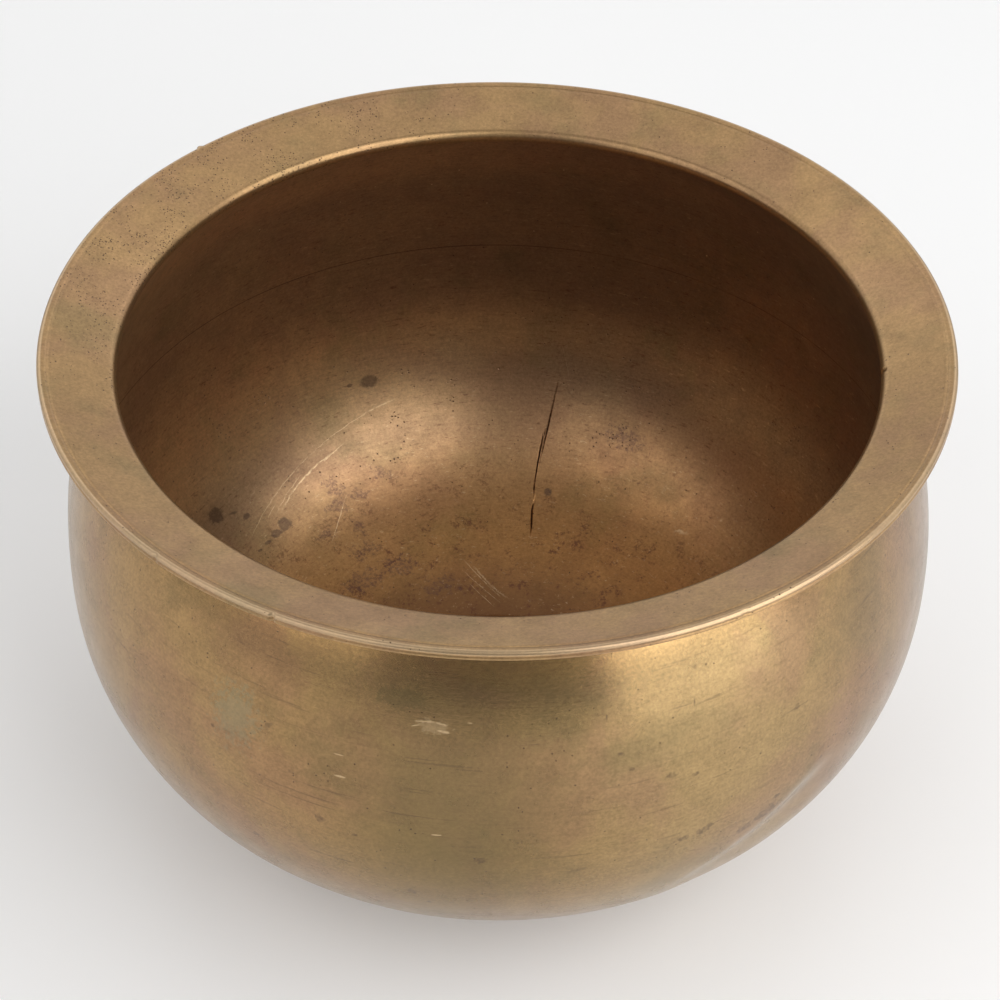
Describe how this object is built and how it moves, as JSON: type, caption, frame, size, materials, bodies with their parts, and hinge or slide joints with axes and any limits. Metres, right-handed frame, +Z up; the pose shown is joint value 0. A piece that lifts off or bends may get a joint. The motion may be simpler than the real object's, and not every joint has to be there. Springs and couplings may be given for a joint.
{
  "type": "brass urli bowl",
  "caption": "Deep round-bellied brass bowl with a wide rim sloping down into the mouth and a flat base to stand on.",
  "frame": {"origin": "centre of the flat base, where it rests", "axes": "+Z up along the bowl's axis of revolution, out of the mouth; X and Y lie in the plane of the base"},
  "size_m": [0.3, 0.3, 0.188],
  "materials": {
    "lower_bowl": "aged, turned satin, brown patina inside",
    "braze_seam": "dark brazing metal, filed flush",
    "shoulder_and_rim": "aged, turned satin, finely pitted rim"
  },
  "bodies": {
    "root": {"lower_bowl": "lower_bowl", "braze_seam": "braze_seam", "shoulder_and_rim": "shoulder_and_rim"}
  },
  "joints": []
}
